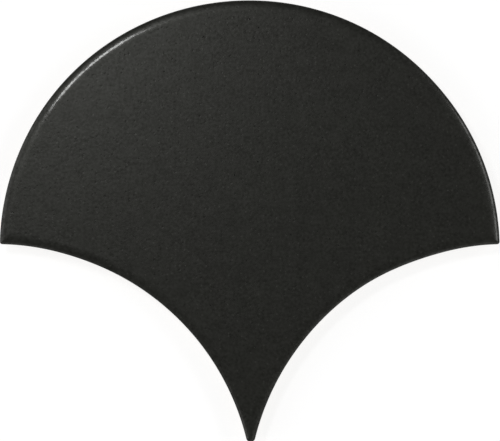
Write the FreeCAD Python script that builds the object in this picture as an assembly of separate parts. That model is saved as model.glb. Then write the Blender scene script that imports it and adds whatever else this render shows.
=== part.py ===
"""Fish scale tile: one pressed and fired ceramic tile with a fan-shaped face.

The head is an arc of one radius. Each flank is hollowed by the head of a tile in the row below,
kept one joint away, so that tiles of this shape cover a wall without cut pieces. The three points,
two ends and a tip, are rounded. The face rolls down to its edge in a soft cushion, the sides draw in
a little towards the back and end in a bevel, and the back is keyed with shallow grooves.

Millimetres. The tile lies on its back: X is its width, +Y points up the wall, +Z is out of the face.
The origin is the centre of the head's arc, on the plane of the back.
"""

import FreeCAD
import Part

import math
import os

from FreeCAD import Vector

# Outline, seen from the front
head_radius = 60.0      # arc of the head: half of the tile's 120 mm width
joint = 1.5             # gap between neighbours that the flanks are drawn for
tip_radius = 1.1        # rounding of the lower tip
end_radius = 0.65       # rounding of the two side points

# Section through an edge
thickness = 8.3         # back to face
cushion_width = 2.5     # how far in from the edge the face starts to roll down
cushion_drop = 0.65     # how far it has rolled down at the edge
side_draft = 0.25       # how far the side draws in below the cushion
bevel_width = 0.6       # bevel round the back
bevel_height = 1.2

# Keying of the back
rim_width = 6.0         # flat border round the grooves
key_depth = 0.8         # depth of a groove
key_draft = 0.4         # lean of a groove's walls over its depth
rib_pitch = 10.0        # from one rib to the next; a rib lies on the head's centre line
rib_width = 3.5

# Worked out from the above: the heads of the tiles below shape the flanks
half_pitch = head_radius + joint / 2
row_pitch = head_radius
flank_radius = head_radius + joint
flank_centres = [Vector(-half_pitch, -row_pitch, 0), Vector(half_pitch, -row_pitch, 0)]

origin = Vector(0, 0, 0)
up = Vector(0, 0, 1)
beyond = 2.0            # how far a cutting shape reaches past what it cuts
quarter_weight = math.sqrt(0.5)  # middle weight of a conic that is a quarter of an ellipse


def line(start, end):
    return Part.makeLine(start, end)


def quarter_ellipse(start, corner, end):
    """A quarter of an ellipse that leaves start towards corner and arrives at end from it."""
    conic = Part.BezierCurve()
    conic.setPoles([start, corner, end])
    conic.setWeight(2, quarter_weight)
    return conic.toShape()


def tile_edge(at):
    """The tile's edge from the back up to the face. at(inset, height) gives a point of the section."""
    bevel_top = at(side_draft, bevel_height)
    widest = at(0, thickness - cushion_drop)
    return [
        line(at(side_draft + bevel_width, 0), bevel_top),
        line(bevel_top, widest),
        quarter_ellipse(widest, at(0, thickness), at(cushion_width, thickness)),
    ]


def turned(edges, centre):
    """Turns a closed section, drawn in the XZ plane, into a solid about the vertical through centre."""
    section = Part.Face(Part.Wire(Part.__sortEdges__(edges)))
    half_plane = Part.makePlane(
        4 * head_radius, 4 * thickness, Vector(0, 0, -thickness), Vector(0, -1, 0), Vector(1, 0, 0)
    )
    right_of_axis = section.common(half_plane).Faces[0]
    solid = right_of_axis.revolve(origin, up, 360)
    solid.translate(centre)
    return solid


def round_blank(radius, edge, centre=origin):
    """A round solid with that edge on its outside: the head, or the rounding of a point."""
    edges = edge(lambda inset, height: Vector(radius - inset, 0, height))
    low, high = edges[0].Vertexes[0].Point, edges[-1].Vertexes[-1].Point
    past_axis = -2 * head_radius
    corner_low, corner_high = Vector(past_axis, 0, low.z), Vector(past_axis, 0, high.z)
    edges += [line(high, corner_high), line(corner_high, corner_low), line(corner_low, low)]
    return turned(edges, centre)


def flank_cutter(edge, centre):
    """The space that a flank leaves free, with the tile's edge round its outside."""
    edges = edge(lambda inset, height: Vector(flank_radius + inset, 0, height))
    low, high = edges[0].Vertexes[0].Point, edges[-1].Vertexes[-1].Point
    under, over = low - up * beyond, high + up * beyond
    axis_under, axis_over = Vector(0, 0, under.z), Vector(0, 0, over.z)
    edges += [
        line(high, over),
        line(over, axis_over),
        line(axis_over, axis_under),
        line(axis_under, under),
        line(under, low),
    ]
    return turned(edges, centre)


def sector(centre, first, second):
    """An upright wedge with its apex at centre, between two directions less than 180 degrees apart."""
    middle = (first + second).normalize()
    reach = head_radius
    corners = [centre, centre + first * reach, centre + middle * reach, centre + second * reach, centre]
    face = Part.Face(Part.makePolygon([p - up * beyond for p in corners]))
    return face.extrude(up * (thickness + 2 * beyond))


def direction(start, end):
    return (end - start).normalize()


def tip_centre():
    """Centre of the circle of tip_radius that touches both flanks."""
    reach = flank_radius + tip_radius
    return Vector(0, math.sqrt(reach**2 - half_pitch**2) - row_pitch, 0)


def end_centre(flank):
    """Centre of the circle of end_radius that touches the head from inside and that flank."""
    from_head, from_flank = head_radius - end_radius, flank_radius + end_radius
    apart = flank.Length
    along = (from_head**2 - from_flank**2 + apart**2) / (2 * apart)
    across = math.sqrt(from_head**2 - along**2)
    towards = direction(origin, flank)
    outwards = Vector(-towards.y, towards.x, 0) * math.copysign(across, flank.x)
    return towards * along + outwards


def points():
    """The three points as (centre, radius, first and second direction in which they touch)."""
    left, right = flank_centres
    tip = tip_centre()
    found = [(tip, tip_radius, direction(tip, left), direction(tip, right))]
    for flank in flank_centres:
        end = end_centre(flank)
        found.append((end, end_radius, direction(origin, end), direction(end, flank)))
    return found


def fan(edge):
    """A fan-shaped solid with that edge all round and sharp points."""
    head = round_blank(head_radius, edge)
    return head.cut([flank_cutter(edge, centre) for centre in flank_centres])


def rounded_fan(edge):
    """The fan with its three points rounded."""
    body = fan(edge)
    for centre, radius, first, second in points():
        wedge = sector(centre, first, second)
        nose = round_blank(radius, edge, centre).common(wedge)
        body = body.cut(wedge).fuse(nose)
    return body.removeSplitter()


def key_reach(height, inset):
    """How far sideways from the middle, at that height on the tile, one stays inset from its edge."""
    from_head = head_radius - inset
    from_flank = flank_radius + inset
    if abs(height) >= from_head:
        return 0
    reach = math.sqrt(from_head**2 - height**2)
    above_flank = height + row_pitch
    if above_flank < from_flank:
        reach = min(reach, half_pitch - math.sqrt(from_flank**2 - above_flank**2))
    return reach


def groove(height, reach):
    """A straight groove across the back with round ends; its walls lean open towards the back."""
    lean = key_draft / key_depth
    floor_radius = (rib_pitch - rib_width) / 2 - key_draft
    foot_radius = floor_radius + (key_depth + beyond) * lean
    section = [
        Vector(-reach, height - foot_radius, -beyond),
        Vector(-reach, height - floor_radius, key_depth),
        Vector(-reach, height + floor_radius, key_depth),
        Vector(-reach, height + foot_radius, -beyond),
    ]
    bar = Part.Face(Part.makePolygon(section + section[:1])).extrude(Vector(2 * reach, 0, 0))
    ends = [
        Part.makeCone(foot_radius, floor_radius, key_depth + beyond, Vector(x, height, -beyond))
        for x in (-reach, reach)
    ]
    return bar.fuse(ends).removeSplitter()


def keys():
    """The grooves of the back, between the ribs, each as long as the rim allows."""
    half_width = (rib_pitch - rib_width) / 2
    found = []
    count = math.ceil(head_radius / rib_pitch)
    for number in range(-count, count):
        height = (number + 0.5) * rib_pitch
        reach = key_reach(height, rim_width + half_width)
        if reach > 0:
            found.append(groove(height, reach))
    return found


def fan_tile():
    return rounded_fan(tile_edge).cut(keys())


os.makedirs("parts", exist_ok=True)
tile = fan_tile()
tile.Solids[0].exportStep("parts/fan_tile.step")

box = tile.BoundBox
print(f"fan_tile {box.XLength:.2f} x {box.YLength:.2f} x {box.ZLength:.2f} mm, {tile.Volume / 1000:.2f} cm3")
print(f"{len(tile.Solids)} solid, valid: {tile.isValid()}, {len(tile.Faces)} faces")
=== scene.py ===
# %% [markdown]
# # A fish scale tile
# The tile is one piece of fired clay, shaped like a fan, with a satin black glaze on its face. It lies on
# its back on a pale floor and the camera looks straight down on it. Everything here is in metres and in
# the frame of the imported model: X is the width, +Y points up the wall, +Z comes out of the face, and the
# origin is the centre of the arc of the head, on the plane of the back.
#
# The imported model is loaded first, and its box is kept: the solid stays in the scene, hidden. Its box is
# kept, because the dressed tile has to stay inside it. The imported solid could be shown with a good
# material on it. It has no glaze line, no bead and no worn lips, though, so a finer surface with the same
# sizes takes its place.

# %% Load the imported tile
import math

import bmesh
import bpy
import numpy as np
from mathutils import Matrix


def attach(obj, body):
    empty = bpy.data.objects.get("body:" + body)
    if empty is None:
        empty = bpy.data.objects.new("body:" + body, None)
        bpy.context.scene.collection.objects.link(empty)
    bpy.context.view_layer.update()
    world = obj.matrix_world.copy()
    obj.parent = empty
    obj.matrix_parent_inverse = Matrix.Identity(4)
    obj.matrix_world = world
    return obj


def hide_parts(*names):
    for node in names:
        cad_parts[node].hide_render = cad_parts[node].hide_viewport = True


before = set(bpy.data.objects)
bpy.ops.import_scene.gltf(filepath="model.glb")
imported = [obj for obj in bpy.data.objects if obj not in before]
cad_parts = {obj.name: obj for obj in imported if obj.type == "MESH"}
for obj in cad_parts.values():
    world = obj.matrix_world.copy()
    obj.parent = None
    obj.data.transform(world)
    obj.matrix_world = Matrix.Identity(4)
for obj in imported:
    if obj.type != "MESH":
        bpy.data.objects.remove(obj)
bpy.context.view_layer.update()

mm = 0.001

# %% [markdown]
# ## The outline
# Seen from the front the tile is bounded by arcs only. The head is one arc about the origin. Each flank
# is hollowed by the head of a tile in the row below, kept one joint away, so its arc has its centre half a
# tile's pitch to the side and one row down. Small arcs round the two ends and the tip.
#
# The outline could be drawn as a curve and filled, or cut out of a slab with Booleans. It is worked out
# here, because an arc moved inwards is still an arc about the same centre. So a ring that lies any distance
# in from the edge has the same six arcs with other radii, and a single function can give them all at once.
# The small roundings must not shrink to a point on the way in, or the rings would bunch up there: they
# open out again a little, as the glaze does on the ridge between two rounded edges.

# %% Sizes of the outline
head_radius = 60 * mm
joint = 1.5 * mm
tip_radius = 1.1 * mm
end_radius = 0.65 * mm
half_pitch = head_radius + joint / 2
row_pitch = head_radius
flank_radius = head_radius + joint
flank = np.array([half_pitch, -row_pitch])
print("flank arc, mm: centre", flank / mm, "radius", flank_radius / mm)

# %% Rings round the tile
POINTS_ON = {"tip": 9, "flank": 150, "end": 13, "head": 188}
RIDGE_OPENING = 0.25


def soft_radius(radius, inset):
    """Radius of a rounding at some distance in: it shrinks as an offset does, then opens out again.
    The root of the sum of two squares: what is left of the radius, and a share of the inset."""
    return np.hypot(np.maximum(radius - inset, 0), RIDGE_OPENING * inset)


def arc(centre, radius, start, end, count):
    """Points on one arc for each row: the centre plus the radius times cosine and sine of an angle that
    goes evenly from start towards end. The end itself is left to the next arc."""
    angle = start[:, None] + (end - start)[:, None] * np.arange(count) / count
    return centre[:, None] + radius[:, None, None] * np.stack([np.cos(angle), np.sin(angle)], -1)


def rings(inset):
    """Closed rings, one for each inset, anticlockwise from the tip. The right half is four arcs in a row:
    half the tip, the flank, the end and half the head. Each small arc touches both of its neighbours, so
    its centre is where a circle about the flank crosses the mirror line or a circle about the origin.
    The left half is the right half mirrored."""
    inset = np.atleast_1d(np.asarray(inset, float))
    none = np.zeros_like(inset)
    tip_round, end_round = soft_radius(tip_radius, inset), soft_radius(end_radius, inset)
    above = np.sqrt((flank_radius + inset + tip_round) ** 2 - half_pitch**2)
    tip = np.stack([none, above - row_pitch], -1)
    from_head, from_flank = head_radius - inset - end_round, flank_radius + inset + end_round
    apart = np.hypot(*flank)
    along = (from_head**2 - from_flank**2 + apart**2) / (2 * apart)
    across = np.sqrt(from_head**2 - along**2)
    towards, outwards = flank / apart, np.array([-flank[1], flank[0]]) / apart
    end = along[:, None] * towards + across[:, None] * outwards
    to_flank = np.arctan2(flank[1] - tip[:, 1], flank[0] - tip[:, 0])
    to_end = np.arctan2(end[:, 1] - flank[1], end[:, 0] - flank[0])
    from_origin = np.arctan2(end[:, 1], end[:, 0])
    middle, quarter = np.zeros((len(inset), 2)), np.full_like(inset, math.pi / 2)
    right = np.concatenate(
        [
            arc(tip, tip_round, -quarter, to_flank, POINTS_ON["tip"]),
            arc(middle + flank, flank_radius + inset, to_flank + math.pi, to_end, POINTS_ON["flank"]),
            arc(end, end_round, to_end - math.pi, from_origin, POINTS_ON["end"]),
            arc(middle, head_radius - inset, from_origin, quarter, POINTS_ON["head"]),
        ],
        axis=1,
    )
    top = arc(middle, head_radius - inset, quarter, quarter, 1)
    left = right[:, :0:-1] * [-1, 1]
    return np.concatenate([right, top, left], axis=1)


edge = rings(0)[0]
around = edge.shape[0]
step = np.linalg.norm(np.roll(edge, -1, 0) - edge, axis=1)
travelled = np.concatenate([[0], np.cumsum(step)[:-1]]) / step.sum()
ahead = np.roll(edge, -1, 0) - np.roll(edge, 1, 0)
outward = np.stack([ahead[:, 1], -ahead[:, 0]], -1) / np.linalg.norm(ahead, axis=1)[:, None]
print(around, "points round the tile, edge", round(step.sum() / mm, 1), "mm long")

# %% [markdown]
# ## Unevenness
# Nothing fired is quite even. The edge of the glaze wanders along the sides, and the face has a faint
# swell from the glaze settling as it melts. A Displace modifier could do both from a noise texture. Sums of
# a few sine waves are used here, because they can be made to close after one turn along the edge, and
# their height is known. Over the face the waves run in all directions. Their phases come from a seeded
# generator, so that each run gives the same tile.

# %% Waves along the edge and over the face
chance = np.random.default_rng(7)
CALMING = 0.85


def wander(place, slowest, fastest, waves):
    """A closed wavering line of about unit height: sines that close after one turn. A wave's height is one
    over its number of turns to the power of CALMING, so quick waves are low."""
    turns = chance.integers(slowest, fastest + 1, waves)
    phase = chance.uniform(0, 2 * math.pi, waves)
    height = 1 / turns**CALMING
    waves_there = np.sin(2 * math.pi * place[:, None] * turns + phase) * height
    return waves_there.sum(1) / math.sqrt((height**2).sum() / 2)


def swell(x, y, shortest, longest, waves):
    """A gentle relief of about unit height: plane sine waves in all directions, longer ones higher."""
    length = shortest * (longest / shortest) ** chance.uniform(0, 1, waves)
    heading = chance.uniform(0, 2 * math.pi, waves)
    phase = chance.uniform(0, 2 * math.pi, waves)
    height = length / longest
    travel = x[..., None] * np.cos(heading) + y[..., None] * np.sin(heading)
    relief = (np.sin(2 * math.pi * travel / length + phase) * height).sum(-1)
    return relief / math.sqrt((height**2).sum() / 2)


line_wander = wander(travelled, slowest=3, fastest=70, waves=26)
print("wander along the edge:", line_wander.min().round(2), "to", line_wander.max().round(2))

# %% [markdown]
# ## The section through the edge
# From the back up, the section is a bevel, a side that leans out a little, and a quarter of an ellipse
# that rolls over onto the face. The glaze was sprayed on from above. It covers the face and the rolled
# edge and runs a little way down the side, where it ends in a small bead, and below it the side is bare
# clay.
#
# Extruding the outline and adding a Bevel modifier would give much the same edge, but no glaze line. So
# the mesh carries this section round the outline. The rows next to the bead follow its wandering line,
# and the line is a real step in the mesh, not only a change of colour.

# %% Sizes of the section
thickness = 8.3 * mm
cushion_width = 2.5 * mm
cushion_drop = 0.65 * mm
side_draft = 0.25 * mm
bevel_width = 0.6 * mm
bevel_height = 1.2 * mm
arris = 0.15 * mm
glaze_coat = 0.11 * mm
glaze_line = 4.9 * mm
glaze_wander = 0.3 * mm
shoulder = thickness - cushion_drop
line_height = glaze_line + glaze_wander * line_wander
print("glaze ends", (line_height.min() / mm).round(2), "to", (line_height.max() / mm).round(2), "mm up")

# %% Rows of the section
ARRIS_ROWS, CLAY_ROWS, BEAD_ROWS, GLAZE_ROWS, CUSHION_ROWS = 5, 9, 6, 8, 22
STEP_SHARE = 0.25


def share(count, start=0.0, end=1.0):
    """Evenly spaced numbers from start to end, both included."""
    return np.linspace(start, end, count)


def lean(height):
    """How far in the drafted side lies: nothing at the shoulder, the whole draft at the bevel's height."""
    return side_draft * (shoulder - height) / (shoulder - bevel_height)


def rounded(before, corner, after, count):
    """A blend of three points that rounds the corner, weighted (1 - t)^2, 2 t (1 - t) and t^2."""
    t = share(count)[:, None]
    return (1 - t) ** 2 * before + 2 * t * (1 - t) * corner + t**2 * after


def foot_rows():
    """Bare clay from the back up to the side, as (inset, height): an arris, the bevel, a second arris."""
    low, high = np.array([side_draft + bevel_width, 0]), np.array([side_draft, bevel_height])
    slope = (high - low) / np.linalg.norm(high - low)
    upright = np.array([lean(2 * bevel_height) - side_draft, bevel_height])
    upright /= np.linalg.norm(upright)
    first = rounded(low + [arris, 0], low, low + arris * slope, ARRIS_ROWS)
    second = rounded(high - arris * slope, high, high + arris * upright, ARRIS_ROWS)
    return np.concatenate([first, second])


def side_rows():
    """The side between the bevel and the shoulder, as (height, how far in, is glaze, how far under the
    glaze line). Clay rows share out the height up to the glaze line, and glaze rows share out the rest.
    The clay draws in by the coat over the first STEP_SHARE of its height. The bead is a quarter of a
    circle that brings the glaze out again. It starts one turn on, because a first row in the same
    place as the last row of clay would be merged with it, and would mix clay and glaze there."""
    start = bevel_height + 2 * arris
    up = share(CLAY_ROWS)[:, None]
    clay_height = start + (line_height - start) * up
    clay_in = lean(clay_height) + glaze_coat * np.minimum(1, up / STEP_SHARE)
    turn = share(BEAD_ROWS, 0, math.pi / 2)[1:, None]
    bead_height = line_height + glaze_coat * (1 - np.cos(turn))
    bead_in = lean(bead_height) + glaze_coat * (1 - np.sin(turn))
    rest = share(GLAZE_ROWS)[1:-1, None]
    above = line_height + glaze_coat
    glaze_height = above + (shoulder - above) * rest
    height = np.concatenate([clay_height, bead_height, glaze_height])
    inwards = np.concatenate([clay_in, bead_in, lean(glaze_height)])
    is_glaze = np.repeat([0.0, 1.0], [len(up), len(turn) + len(rest)])
    return height, inwards, is_glaze, line_height - height


def cushion_rows():
    """The rolled edge from the shoulder to the face: a quarter of an ellipse by even turns."""
    turn = share(CUSHION_ROWS, 0, math.pi / 2)
    return cushion_width * (1 - np.cos(turn)), shoulder + cushion_drop * np.sin(turn)


print("rows: foot", len(foot_rows()), "side", len(side_rows()[0]), "cushion", len(cushion_rows()[0]))

# %% [markdown]
# ## The face
# Inside the rolled edge the face is flat. One large flat polygon would do for a still picture, but the
# faint swell of the glaze needs vertices to move. So a few more rings follow the outline, and from the last
# of them the rings shrink towards one point, from which the whole outline can be seen: the middle of the
# largest circle that fits in the fan. The last ring is that point, and its doubled vertices are merged
# later.

# %% Rows of the face
middle_of_face = np.array([0, 20.6 * mm])
face_insets = np.array([3.0, 3.6, 4.3, 5.2, 6.3]) * mm
shrinking_rows = 38


def face_rows():
    """Rings of the flat face: offsets of the outline, then a straight blend towards the middle point."""
    near = rings(face_insets)
    blend = share(shrinking_rows + 1)[1:, None, None]
    return np.concatenate([near, near[-1] * (1 - blend) + middle_of_face * blend])


print("rows on the face:", len(face_rows()))

# %% Skin of the tile: foot, side, cushion and face
swell_height = 0.004 * mm
swell_sinking = 1.5
shortest_swell, longest_swell, swell_waves = 5 * mm, 26 * mm, 60


def skin():
    """All rows from the back plane up to the middle of the face, as points, glaze share and depth under
    the glaze line. Side rows start from the outline and move in square to it. The swell fades in over the
    cushion, and sinks a little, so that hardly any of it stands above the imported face."""
    foot = foot_rows()
    foot_height = np.broadcast_to(foot[:, 1, None], (len(foot), around))
    foot_points = np.dstack([rings(foot[:, 0]), foot_height])
    height, inwards, side_glaze, under = side_rows()
    side_points = np.dstack([edge - inwards[..., None] * outward, height])
    inset, rise = cushion_rows()
    top = np.concatenate([rings(inset), face_rows()])
    level = np.concatenate([rise, np.full(len(top) - len(rise), thickness)])[:, None]
    settled = np.clip((level - shoulder) / cushion_drop, 0, 1)
    relief = swell(top[..., 0], top[..., 1], shortest_swell, longest_swell, swell_waves)
    level = level + swell_height * settled * (relief - swell_sinking)
    points = np.concatenate([foot_points, side_points, np.dstack([top, level])])
    glaze = np.concatenate([np.zeros(len(foot)), side_glaze, np.ones(len(top))])
    depth = np.concatenate([np.full((len(foot), around), thickness), under, np.zeros((len(top), around))])
    return points, np.broadcast_to(glaze[:, None], depth.shape), depth


skin_points, skin_glaze, skin_depth = skin()
print("skin grid", skin_points.shape[:2], "top", (skin_points[..., 2].max() / mm).round(3), "mm")

# %% [markdown]
# ## The keyed back
# The back carries shallow grooves that give the adhesive a hold. They lie across the tile with flat ribs
# between them, have round ends, and stop short of the edge. Booleans could cut them, but they leave thin
# triangles and sharp lips. So each groove is a small cup. A stadium-shaped path goes round it, and a short
# section is carried along that path: a worn lip, a leaning wall, a hollow fillet and the floor, which
# closes on the line down the middle.

# %% Grooves of the back
rim_width = 6.0 * mm
key_depth = 0.8 * mm
key_draft = 0.4 * mm
rib_pitch = 10.0 * mm
rib_width = 3.5 * mm
key_lip = 0.12 * mm
key_fillet = 0.25 * mm
mouth = (rib_pitch - rib_width) / 2
ON_STRAIGHT, ON_TURN, ON_SECTION = 60, 28, 4
FLOOR_START = 0.7


def key_reach(height):
    """Half the straight length of a groove at a height on the tile. Its round ends keep the rim free
    under the head and, lower down, beside the hollow of the flank."""
    from_head, from_flank = head_radius - rim_width - mouth, flank_radius + rim_width + mouth
    if abs(height) >= from_head:
        return 0.0
    reach = math.sqrt(from_head**2 - height**2)
    if height + row_pitch < from_flank:
        reach = min(reach, half_pitch - math.sqrt(from_flank**2 - (height + row_pitch) ** 2))
    return reach


def key_section():
    """Section of a groove from its lip to its middle, as (distance from the middle line, height). The lip
    and the fillet are parabolas that leave one straight part and arrive along the next."""
    t = share(ON_SECTION)
    slope = key_draft / key_depth
    lip_out = mouth + key_lip - key_lip * (1 - (1 - t) ** 2) - slope * key_lip * t**2
    lip_up = key_lip * t**2
    floor_edge = mouth - key_draft
    turn_out = floor_edge + slope * key_fillet * (1 - t) ** 2 - key_fillet * t**2
    turn_up = key_depth - key_fillet * (1 - t) ** 2
    flat = (floor_edge - key_fillet) * share(ON_SECTION, FLOOR_START, 0)
    out = np.concatenate([lip_out, turn_out, flat])
    return out, np.concatenate([lip_up, turn_up, np.full(len(flat), key_depth)])


def key_cup(height, reach):
    """One groove: the section carried round a stadium, two straights joined by half circles. A point is
    the path's centre there plus the section's distance along the path's bearing."""
    straight = share(ON_STRAIGHT + 1)[:-1]
    turn = share(ON_TURN + 1, -math.pi / 2, math.pi / 2)[:-1]
    there, back = 2 * straight - 1, 1 - 2 * straight
    centre_x = reach * np.concatenate([there, np.ones(ON_TURN), back, -np.ones(ON_TURN)])
    down, up_wall = np.full(ON_STRAIGHT, -math.pi / 2), np.full(ON_STRAIGHT, math.pi / 2)
    bearing = np.concatenate([down, turn, up_wall, turn + math.pi])
    out, up = key_section()
    x = centre_x + out[:, None] * np.cos(bearing)
    y = height + out[:, None] * np.sin(bearing)
    return np.dstack([x, y, np.broadcast_to(up[:, None], x.shape)])


keys_each_way = math.ceil(head_radius / rib_pitch)
key_heights = (np.arange(-keys_each_way, keys_each_way) + 0.5) * rib_pitch
cups = [key_cup(height, key_reach(height)) for height in key_heights if key_reach(height) > 0]
print(len(cups), "grooves, each a grid of", cups[0].shape[:2])

# %% [markdown]
# ## Out of true
# A pressed tile shrinks in the kiln, and not by the same amount everywhere. This one isn't quite true to
# its arcs: its tail leans a little to the right, its left shoulder stands out and its right one falls
# short, and its two wings sag a little over the flanks. A Lattice modifier could bend it so. Moving the
# points by a formula keeps each departure a named size in millimetres. They are too small to change how
# the tile lies.

# %% Departures from the true arcs
tail_lean, tail_length = 0.22 * mm, 25 * mm
shoulders = {"left": (138, 30, 0.27 * mm), "right": (43, 13, -0.09 * mm)}
wings = {"left": (-40 * mm, 0.15 * mm), "right": (41 * mm, 0.31 * mm)}
wing_width, wing_height = 11 * mm, 14 * mm


def bell(away, reach):
    """A bell curve: one at no distance, and nothing a few reaches away."""
    return np.exp(-((away / reach) ** 2))


def turned(bearing, middle):
    """Degrees from one bearing to another the short way round."""
    return (bearing - middle + 180) % 360 - 180


def fired(points):
    """Points moved sideways as in the kiln. The tail leans to the right, by a smooth step down its length.
    A shoulder (bearing, reach in degrees, growth) grows by a bell curve of the bearing, times the square
    of the distance out. A wing (how far across, sag) sags by a bell curve across, times one up the tile."""
    x, y, z = points.T
    down = np.clip(-y / tail_length, 0, 1)
    lean_there = tail_lean * down**2 * (3 - 2 * down)
    bearing = np.degrees(np.arctan2(y, x))
    growth = sum(size * bell(turned(bearing, middle), reach) for middle, reach, size in shoulders.values())
    growth = growth * np.hypot(x, y) / head_radius**2
    sag = sum(size * bell(x - across, wing_width) for across, size in wings.values())
    sag = sag * bell(y, wing_height)
    return np.stack([x + lean_there + growth * x, y + growth * y - sag, z], -1)


moved = np.linalg.norm(fired(skin_points.reshape(-1, 3)) - skin_points.reshape(-1, 3), axis=1)
print("out of true by", (moved.max() / mm).round(2), "mm at most")

# %% [markdown]
# ## Putting the mesh together
# The skin and the cups are grids whose columns close on themselves. Put in one mesh, they leave open the
# plane of the back, a region with the outline round it and the grooves' mouths as holes. The ribs could be
# bridged groove by groove, but Blender's triangle fill closes such a region exactly and at once. The
# filled faces are shaded flat, because they are flat, and everything else is shaded smooth. Two values
# ride on the vertices for the material: whether the place is glazed, and how far it lies below the glaze
# line.

# %% Build the tile
doubles_apart = 0.002 * mm


def quads(rows, columns, first):
    """Corner numbers of the quads of a grid whose columns close on themselves, counted from first."""
    row, column = np.meshgrid(np.arange(rows - 1), np.arange(columns), indexing="ij")
    here, there = row * columns + column, row * columns + (column + 1) % columns
    return first + np.stack([here, there, there + columns, here + columns], -1).reshape(-1, 4)


def close_mesh(mesh):
    """Merges the doubled vertices of poles and seams, fills the back plane and turns all faces out."""
    work = bmesh.new()
    work.from_mesh(mesh)
    bmesh.ops.remove_doubles(work, verts=work.verts, dist=doubles_apart)
    open_edges = [e for e in work.edges if e.is_boundary]
    filled = bmesh.ops.triangle_fill(work, edges=open_edges, use_beauty=True, normal=(0, 0, -1))
    for face in filled["geom"]:
        if isinstance(face, bmesh.types.BMFace):
            face.smooth = False
    bmesh.ops.recalc_face_normals(work, faces=work.faces)
    loose = sum(not e.is_manifold for e in work.edges)
    print("open or shared edges left:", loose, "volume, cm3:", round(work.calc_volume() * 1e6, 2))
    work.to_mesh(mesh)
    work.free()


def build_tile():
    """One mesh of the skin and the cups, moved out of true, with its two values, and closed."""
    grids = [skin_points, *cups]
    points = fired(np.concatenate([grid.reshape(-1, 3) for grid in grids]))
    starts = np.cumsum([0] + [grid.shape[0] * grid.shape[1] for grid in grids])
    faces = np.concatenate([quads(*grid.shape[:2], start) for grid, start in zip(grids, starts)])
    mesh = bpy.data.meshes.new("tile_surface")
    mesh.from_pydata(points, [], faces)
    in_cups = len(points) - skin_glaze.size
    values = {
        "glazed": np.concatenate([skin_glaze.ravel(), np.zeros(in_cups)]),
        "under_glaze": np.concatenate([skin_depth.ravel(), np.full(in_cups, thickness)]) / mm,
    }
    for name, value in values.items():
        mesh.attributes.new(name, "FLOAT", "POINT").data.foreach_set("value", value.astype(np.float32))
    mesh.shade_smooth()
    close_mesh(mesh)
    return mesh


tile = bpy.data.objects.new("tile_surface", build_tile())
bpy.context.scene.collection.objects.link(tile)
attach(tile, "root")
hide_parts("fan_tile")
triangles = sum(len(p.vertices) - 2 for p in tile.data.polygons)
print("tile_surface:", triangles, "triangles")

# %% [markdown]
# ## Shader maths
# The finish is worked out from where a point lies on the tile. It could be painted, but a picture blurs
# close to, and a formula doesn't. To read like maths, each socket is wrapped in a small class: plus, minus
# and times on it add a Math node, and any other node comes from one method that takes its type, its
# settings and what goes into its sockets.

# %% A wire carries a value through the shader
DOT_CORE = 0.4
DOT_FADE = 0.02


class Wire:
    """A socket of a node tree that can be used in sums."""

    def __init__(self, tree, socket=None):
        self.tree = tree
        self.socket = socket

    def node(self, kind, settings=None, inputs=None, output=0):
        """Adds a node of that type, with its settings first and then a number or a wire on each socket.
        output is the name or number of the socket that the new wire comes from."""
        node = self.tree.nodes.new("ShaderNode" + kind)
        for name, value in (settings or {}).items():
            setattr(node, name, value)
        for name, value in (inputs or {}).items():
            if isinstance(value, Wire):
                self.tree.links.new(value.socket, node.inputs[name])
            else:
                node.inputs[name].default_value = value
        return Wire(self.tree, node.outputs[output] if node.outputs else None)

    def maths(self, operation, *terms):
        return self.node("Math", {"operation": operation}, dict(enumerate(terms)))

    def __add__(self, other):
        return self.maths("ADD", self, other)

    def __sub__(self, other):
        return self.maths("SUBTRACT", self, other)

    def __rsub__(self, other):
        return self.maths("SUBTRACT", other, self)

    def __mul__(self, other):
        return self.maths("MULTIPLY", self, other)

    __radd__ = __add__
    __rmul__ = __mul__

    def at_least_none(self):
        """This value, or nothing where it is less."""
        return self.maths("MAXIMUM", self, 0.0)

    def ramp(self, low, high):
        """Nothing below low, one above high and a smooth rise between them; low may be the larger."""
        ends = {"Value": self, "From Min": low, "From Max": high}
        return self.node("MapRange", {"interpolation_type": "SMOOTHSTEP"}, ends)

    def blend(self, first, second):
        """A colour that goes from first to second as this value goes from nothing to one. The Mix node has
        sockets for every kind of value, and 6, 7 and output 2 are those for colours."""
        return self.node("Mix", {"data_type": "RGBA"}, {0: self, 6: first, 7: second}, output=2)

    def noise(self, size, detail=0.0, roughness=0.5):
        """Cloudy noise about 0 with features of that size in millimetres; this wire is the place."""
        sockets = {"Vector": self, "Scale": 1 / size, "Detail": detail, "Roughness": roughness}
        return self.node("TexNoise", {}, sockets) - 0.5

    def dots(self, spacing, radius, share_kept):
        """Round dots: the nearest of a scatter of points, with only a share of the points kept. spacing
        and radius are in millimetres, and share_kept may be a wire."""
        sockets = {"Vector": self, "Scale": 1 / spacing}
        distance = self.node("TexVoronoi", {}, sockets, output="Distance")
        tint = self.node("TexVoronoi", {}, sockets, output="Color")
        picked = self.node("SeparateColor", {}, {"Color": tint}).ramp(share_kept, share_kept - DOT_FADE)
        return distance.ramp(radius / spacing, DOT_CORE * radius / spacing) * picked


print("a wire adds, subtracts and multiplies, and makes ramps, blends, noise and dots")
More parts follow.
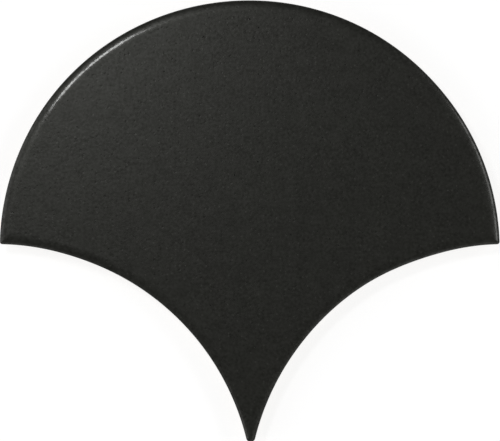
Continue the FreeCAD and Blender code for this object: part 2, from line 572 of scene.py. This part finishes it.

# %% [markdown]
# ## The glaze
# The glaze is a satin black with a trace of warmth. Close to, it is not even: it has a fine grain where
# crystals stand in its skin, stronger in some patches than in others, broad faint clouds where it melted a
# little thicker or thinner, shallow pits, sparse pinholes left by gas, and a few paler specks. The pits are
# painted a little darker and the pinholes near black: painted shade in their hollows.
#
# A bump alone makes such grain look like leather. Most of it is therefore put in how much the skin
# reflects. Metallic on a black takes reflection away, because a black metal reflects next to nothing: that
# is the dullness of a spot. The coat is a thin smoother layer over the satin, and it draws the bright line
# on the rolled edge. Its weight follows the grain too, so that the line is uneven.

# %% Glaze
cloud_size, patch_size, blotch_size, crystal_size = 9, 6, 2.8, 0.7
satin, plain_dullness, plain_shine = 0.37, 0.13, 0.255
glaze_deepest, glaze_palest = (0, 0, 0, 1), (0.0132, 0.0137, 0.0092, 1)
# The pinhole colour is near black: painted shade inside the pinholes. The speck colour is the specks' own.
pinhole_shade_colour, speck_colour = (0.001, 0.001, 0.001, 1), (0.03, 0.03, 0.026, 1)


def glaze_finish(place):
    """Colour, roughness, height in millimetres, dullness and shine of the glaze at a place in
    millimetres. The grain is crystals, stronger in patches, with a share of softer blotches."""
    clouds = place.noise(cloud_size, detail=2)
    patches = place.noise(patch_size, detail=1)
    crystals = place.noise(crystal_size, detail=0.6, roughness=0.6)
    grain = crystals * (0.78 + 0.9 * patches) + 0.36 * place.noise(blotch_size, detail=1)
    pits_and_shade = place.dots(spacing=1.0, radius=0.33, share_kept=0.5)
    pinholes_and_shade = place.dots(spacing=1.9, radius=0.19, share_kept=0.25)
    specks = place.dots(spacing=1.05, radius=0.29, share_kept=0.35)
    # The pits take a little off the tone: painted shade in their hollows.
    tone = 1 + 0.4 * clouds + 0.3 * grain - 0.3 * pits_and_shade
    # The pinholes are coloured near black: painted shade inside them.
    shade = pinholes_and_shade.blend((tone * 0.4).blend(glaze_deepest, glaze_palest), pinhole_shade_colour)
    colour = (specks * 0.35).blend(shade, speck_colour)
    roughness = satin + 0.05 * clouds + 0.6 * pinholes_and_shade
    height = 0.017 * grain - 0.01 * pits_and_shade - 0.04 * pinholes_and_shade + 0.006 * specks
    dull = plain_dullness - 0.75 * grain + 0.1 * pits_and_shade + 0.42 * pinholes_and_shade - 0.13 * specks
    shine = plain_shine + 0.68 * grain
    return colour, roughness, height, dull.at_least_none(), shine.at_least_none()


print("glaze: crystals", crystal_size, "mm, patches", patch_size, "mm, clouds", cloud_size, "mm")

# %% [markdown]
# ## The clay
# Under the glaze the body is a pale buff clay, pressed from powder. It is matt and a little sandy, with
# rusty specks of iron and broad changes of tone from the kiln. The die has drawn fine upright scores down
# the sides. Just below the glaze line the clay is stained, and fine drops of glaze that drifted past the
# edge of the tile lie on it, fewer the further down they are.
#
# The scores are noise drawn out along Z. The stain and the drops need to know how far below the wandering
# glaze line they are. No pattern in space could tell them, so the mesh carries that depth as a value.

# %% Clay
kiln_cloud_size, sand_size, score_size, stain_cloud_size = 14, 0.45, 0.35, 3
buff_dark, buff_pale = (0.46, 0.365, 0.255, 1), (0.68, 0.595, 0.47, 1)
iron_colour, stain_colour = (0.17, 0.075, 0.035, 1), (0.17, 0.115, 0.07, 1)
drop_colour = (0.018, 0.017, 0.015, 1)
drops_reach, stain_reach, stain_wander = 1.8, 1.0, 1.6
matt = 0.9
drawn_out = (1, 1, 0.06)


def clay_finish(place, under):
    """Colour, roughness and height in millimetres of the bare clay. under is how far below the glaze line
    the place lies, in millimetres, and is large on the back."""
    clouds = place.noise(kiln_cloud_size, detail=3)
    sand = place.noise(sand_size, detail=3, roughness=0.7)
    drawn = place.node("VectorMath", {"operation": "MULTIPLY"}, {0: place, 1: drawn_out})
    scores = drawn.noise(score_size, detail=2)
    small_iron = place.dots(spacing=1.7, radius=0.2, share_kept=0.3)
    iron = small_iron + place.dots(spacing=5.5, radius=0.42, share_kept=0.5)
    drops = place.dots(spacing=0.8, radius=0.22, share_kept=0.7 * under.ramp(drops_reach, 0.0))
    stain = (under + stain_wander * place.noise(stain_cloud_size, detail=1)).ramp(stain_reach, 0.0)
    tone = (0.5 + 1.3 * clouds + 1.2 * sand + 0.5 * scores).ramp(0, 1)
    body = (iron * 0.75).blend(tone.blend(buff_dark, buff_pale), iron_colour)
    body = (stain * 0.7).blend(body, stain_colour)
    colour = (drops * 0.95).blend(body, drop_colour)
    roughness = matt - 0.45 * drops + 0.12 * sand
    height = 0.05 * sand + 0.02 * scores + 0.02 * drops - 0.02 * iron
    return colour, roughness, height


print("clay: drops reach", drops_reach, "mm below the glaze line, the stain about", stain_reach, "mm")

# %% [markdown]
# ## The whole finish
# The tile is one piece, so it has one material. Two materials, for glaze and for clay, would meet along
# the edges of faces. Here the vertex value says where the glaze is, and each property of the surface is
# the glaze's or the clay's by that value.

# %% Glaze over clay
reflection, reflection_tint, coat_roughness = 0.34, (0.99, 1.0, 0.95, 1), 0.1
mask_low, mask_high = 0.45, 0.55


def fired_finish():
    """The material of the tile. Each property is glaze times the mask plus clay times one less the mask."""
    material = bpy.data.materials.new("fired_tile")
    material.use_nodes = True
    tree = material.node_tree
    tree.nodes.clear()
    start = Wire(tree)
    metres = start.node("TexCoord", output="Object")
    place = start.node("Mapping", {}, {"Vector": metres, "Scale": (1 / mm, 1 / mm, 1 / mm)})
    glazed = start.node("Attribute", {"attribute_name": "glazed"}, output="Fac")
    glazed = glazed.ramp(mask_low, mask_high)
    under = start.node("Attribute", {"attribute_name": "under_glaze"}, output="Fac")
    glaze_colour, glaze_roughness, glaze_height, dull, shine = glaze_finish(place)
    clay_colour, clay_roughness, clay_height = clay_finish(place, under)
    height = glaze_height * glazed + clay_height * (1 - glazed)
    surface = start.node(
        "BsdfPrincipled",
        {},
        {
            "Base Color": glazed.blend(clay_colour, glaze_colour),
            "Roughness": glaze_roughness * glazed + clay_roughness * (1 - glazed),
            "Metallic": dull * glazed,
            "Specular IOR Level": reflection,
            "Specular Tint": reflection_tint,
            "Coat Weight": shine * glazed,
            "Coat Roughness": coat_roughness,
            "Normal": start.node("Bump", {}, {"Strength": 1.0, "Distance": mm, "Height": height}),
        },
    )
    start.node("OutputMaterial", {}, {"Surface": surface})
    return material


tile.data.materials.append(fired_finish())
print("fired_tile:", len(tile.data.materials[0].node_tree.nodes), "nodes")

# %% [markdown]
# ## Floor
# The floor is plain and pale. More light on it would bring it up to the white of the picture, but would
# fade the tile too. So it glows a little where the camera or a reflection sees it, and still takes the
# shadow of the tile.

# %% Floor
floor_size, floor_gap = 7.0, 0.1 * mm
floor_pale, floor_faint, floor_glow = (0.8, 0.8, 0.79, 1), (0.3, 0.3, 0.3, 1), 0.78


def floor_finish():
    """White for the camera, with the shadow kept, and plain pale to the light that falls on it."""
    material = bpy.data.materials.new("pale_floor")
    material.use_nodes = True
    tree = material.node_tree
    tree.nodes.clear()
    start = Wire(tree)
    rays = ("Is Camera Ray", "Is Glossy Ray", "Is Transmission Ray")
    camera_ray, glossy_ray, transmission_ray = (start.node("LightPath", output=ray) for ray in rays)
    seen = camera_ray + glossy_ray + transmission_ray
    pale = start.node("BsdfDiffuse", {}, {"Color": floor_pale})
    faint = start.node("BsdfDiffuse", {}, {"Color": floor_faint})
    glow = start.node("Emission", {}, {"Color": (1, 1, 1, 1), "Strength": floor_glow})
    white = start.node("AddShader", {}, {0: faint, 1: glow})
    start.node("OutputMaterial", {}, {"Surface": start.node("MixShader", {}, {0: seen, 1: pale, 2: white})})
    return material


half = floor_size / 2
floor_mesh = bpy.data.meshes.new("floor")
corners = [(-half, -half), (half, -half), (half, half), (-half, half)]
floor_mesh.from_pydata([(x, y, -floor_gap) for x, y in corners], [], [(0, 1, 2, 3)])
floor_mesh.materials.append(floor_finish())
floor = bpy.data.objects.new("floor", floor_mesh)
bpy.context.scene.collection.objects.link(floor)
print("floor", floor_size, "m square")

# %% [markdown]
# ## Lamps and room
# A small lamp stands high at the upper left. It gives the face its sheen and draws the narrow bright line
# on the rolled edge there. A wide weak lamp on the right puts the grey line on the other edge. Two large
# cards, at the left and in front, fill in the sides. The room is dim overhead, where the face would mirror
# it, and bright low down, where only the sides and the clay see it. One even white room would be simpler,
# but would lay a grey veil on the black. All together they light the tile at a plain level.

# %% Lamps


def soft_lamp(name, bearing, from_vertical, distance, size, radiance):
    """A rectangular lamp that faces the tile. bearing is its side, anticlockwise from +X, and the power
    is pi times its radiance times its area."""
    lamp = bpy.data.lights.new(name, "AREA")
    lamp.shape = "RECTANGLE"
    lamp.size, lamp.size_y = size
    lamp.energy = math.pi * radiance * size[0] * size[1]
    holder = bpy.data.objects.new(name, lamp)
    side, down = math.radians(bearing), math.radians(from_vertical)
    reach = distance * math.sin(down)
    holder.location = (reach * math.cos(side), reach * math.sin(side), distance * math.cos(down))
    holder.rotation_euler = (0, down, side)
    holder.visible_camera = False
    bpy.context.scene.collection.objects.link(holder)
    print(name, round(lamp.energy, 2), "W")


soft_lamp("key_lamp", bearing=131.4, from_vertical=21.5, distance=0.5, size=(0.05, 0.083), radiance=37.3)
soft_lamp("side_lamp", bearing=7, from_vertical=39.2, distance=0.9, size=(0.19, 0.56), radiance=4.9)
soft_lamp("left_card", bearing=178, from_vertical=54, distance=1.0, size=(0.8, 0.9), radiance=1.2)
soft_lamp("front_card", bearing=285, from_vertical=58, distance=1.0, size=(0.8, 1.3), radiance=0.6)

# %% Room
overhead = 0.205
dim_above, bright_below = 0.5, 0.2


def room_light():
    """The room round the tile: dim overhead and bright low down, by the height of the direction."""
    world = bpy.data.worlds.new("room")
    world.use_nodes = True
    tree = world.node_tree
    tree.nodes.clear()
    start = Wire(tree)
    direction = start.node("TexCoord", output="Generated")
    height = start.node("SeparateXYZ", {}, {"Vector": direction}, output="Z")
    strength = overhead + (1 - overhead) * height.ramp(dim_above, bright_below)
    room = start.node("Background", {}, {"Color": (1, 1, 1, 1), "Strength": strength})
    start.node("OutputWorld", {}, {"Surface": room})
    return world


bpy.context.scene.world = room_light()
print("room: strength", overhead, "overhead and 1 low down")

# %% [markdown]
# ## Camera
# The tile was photographed square on from above. A parallel camera would give the same outline. A real
# one stands a finite way off, though, and the sheen on the face depends on that, so this one has a lens
# and a distance. Its place comes from where the picture shows the mirror line of the tile and the centre
# of the arc of its head, in pixels, and from how many pixels a millimetre takes at the rolled edge.

# %% Camera
picture_width = 500
pixels_per_mm = 4.1676
axis_column, centre_row = 249.78, 250.43
picture_middle = (250.0, 220.5)
camera_distance = 0.6
sensor = 36.0

camera_data = bpy.data.cameras.new("camera")
camera_data.sensor_width = sensor
camera_data.lens = sensor * camera_distance / (picture_width / pixels_per_mm * mm)
camera = bpy.data.objects.new("camera", camera_data)
camera.location = (
    (picture_middle[0] - axis_column) / pixels_per_mm * mm,
    (centre_row - picture_middle[1]) / pixels_per_mm * mm,
    shoulder + camera_distance,
)
bpy.context.scene.collection.objects.link(camera)
bpy.context.scene.camera = camera
bpy.context.scene.view_settings.view_transform = "Standard"
print("camera", [round(c, 4) for c in camera.location], "lens", round(camera_data.lens, 1), "mm")
